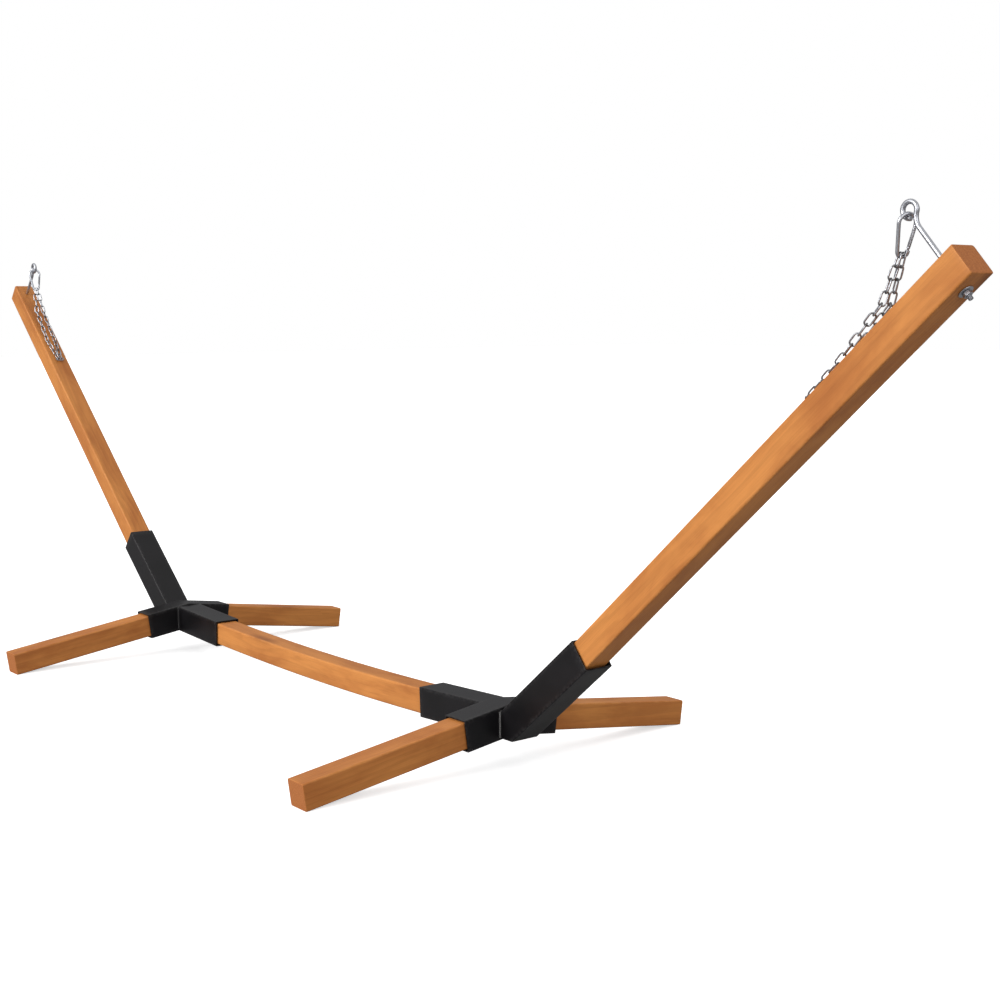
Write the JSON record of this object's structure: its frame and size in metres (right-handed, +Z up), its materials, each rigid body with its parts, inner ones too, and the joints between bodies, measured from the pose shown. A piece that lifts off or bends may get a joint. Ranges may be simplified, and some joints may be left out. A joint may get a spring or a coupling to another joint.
{
  "type": "hammock stand",
  "caption": "Free-standing timber hammock stand: bowed spine, raked masts and splayed feet in black steel brackets, with eye bolts, snap hooks and doubled chains.",
  "frame": {"origin": "on the ground under the middle of the spine, midway between the two brackets", "axes": "+X along the spine towards the right-hand mast, +Y towards the back, +Z up"},
  "size_m": [3.5856, 0.9782, 1.07],
  "materials": {
    "timber": "honey-brown outdoor stain, planed, satin",
    "bracket_paint": "satin black powder coat",
    "bolt_zinc": "bright zinc plate",
    "hook_zinc": "bright zinc plate",
    "chain_zinc": "bright zinc plate",
    "screw_zinc": "zinc plate"
  },
  "bodies": {
    "stand": {"spine": "timber", "foot_front_right": "timber", "foot_back_right": "timber", "foot_front_left": "timber", "foot_back_left": "timber", "mast_right": "timber", "mast_left": "timber", "foot_socket_front_right": "bracket_paint", "foot_socket_back_right": "bracket_paint", "foot_socket_front_left": "bracket_paint", "foot_socket_back_left": "bracket_paint", "spine_socket_right": "bracket_paint", "spine_socket_left": "bracket_paint", "mast_socket_right": "bracket_paint", "mast_socket_left": "bracket_paint", "foot_screw_front_right": "screw_zinc", "foot_screw_back_right": "screw_zinc", "foot_screw_front_left": "screw_zinc", "foot_screw_back_left": "screw_zinc", "spine_screw_right": "screw_zinc", "spine_screw_left": "screw_zinc", "mast_screw_right": "screw_zinc", "mast_screw_left": "screw_zinc", "eye_bolt_right": "bolt_zinc", "bolt_washer_right": "bolt_zinc", "bolt_nut_right": "bolt_zinc", "eye_bolt_left": "bolt_zinc", "bolt_washer_left": "bolt_zinc", "bolt_nut_left": "bolt_zinc"},
    "hook_right": {"snap_hook_right": "hook_zinc", "gate_pin_right": "hook_zinc"},
    "gate_right": {"snap_gate_right": "hook_zinc"},
    "chain_upper_right": {"chain_upper_front_right": "chain_zinc", "chain_upper_back_right": "chain_zinc"},
    "chain_middle_right": {"chain_middle_front_right": "chain_zinc", "chain_middle_back_right": "chain_zinc"},
    "chain_lower_right": {"chain_lower_front_right": "chain_zinc", "chain_lower_back_right": "chain_zinc", "chain_end_link_right": "chain_zinc"},
    "hook_left": {"snap_hook_left": "hook_zinc", "gate_pin_left": "hook_zinc"},
    "gate_left": {"snap_gate_left": "hook_zinc"},
    "chain_upper_left": {"chain_upper_front_left": "chain_zinc", "chain_upper_back_left": "chain_zinc"},
    "chain_middle_left": {"chain_middle_front_left": "chain_zinc", "chain_middle_back_left": "chain_zinc"},
    "chain_lower_left": {"chain_lower_front_left": "chain_zinc", "chain_lower_back_left": "chain_zinc", "chain_end_link_left": "chain_zinc"}
  },
  "joints": [
    {"name": "hook_swing_right", "type": "hinge", "parent": "stand", "child": "hook_right", "pos_m": [1.66505, 0, 1.0541], "axis": [0, 1, 0], "range_deg": [0, 90]},
    {"name": "gate_press_right", "type": "hinge", "parent": "hook_right", "child": "gate_right", "pos_m": [1.65611, 0.00806, 0.99354], "axis": [0.9281, -0.3256, -0.1804], "range_deg": [0, 28], "stiffness_Nm_per_rad": 0.05, "springref_deg": -57.3},
    {"name": "chain_on_hook_right", "type": "hinge", "parent": "hook_right", "child": "chain_upper_right", "pos_m": [1.65197, 0, 0.98682], "axis": [0.3196, 0.9455, -0.0621], "range_deg": [0, 60]},
    {"name": "chain_upper_bend_right", "type": "hinge", "parent": "chain_upper_right", "child": "chain_middle_right", "pos_m": [1.62751, 0, 0.91801], "axis": [0, 1, 0], "range_deg": [0, 5]},
    {"name": "chain_lower_bend_right", "type": "hinge", "parent": "chain_middle_right", "child": "chain_lower_right", "pos_m": [1.54815, 0, 0.82801], "axis": [0, 1, 0], "range_deg": [0, 30]},
    {"name": "hook_swing_left", "type": "hinge", "parent": "stand", "child": "hook_left", "pos_m": [-1.66505, 0, 1.0541], "axis": [0, -1, 0], "range_deg": [0, 90]},
    {"name": "gate_press_left", "type": "hinge", "parent": "hook_left", "child": "gate_left", "pos_m": [-1.65066, 0.00806, 0.9946], "axis": [0.9281, -0.3256, 0.1804], "range_deg": [0, 28], "stiffness_Nm_per_rad": 0.05, "springref_deg": -57.3},
    {"name": "chain_on_hook_left", "type": "hinge", "parent": "hook_left", "child": "chain_upper_left", "pos_m": [-1.65197, 0, 0.98682], "axis": [-0.3196, -0.9455, -0.0621], "range_deg": [0, 60]},
    {"name": "chain_upper_bend_left", "type": "hinge", "parent": "chain_upper_left", "child": "chain_middle_left", "pos_m": [-1.62751, 0, 0.91801], "axis": [0, -1, 0], "range_deg": [0, 5]},
    {"name": "chain_lower_bend_left", "type": "hinge", "parent": "chain_middle_left", "child": "chain_lower_left", "pos_m": [-1.54815, 0, 0.82801], "axis": [0, -1, 0], "range_deg": [0, 30]}
  ]
}
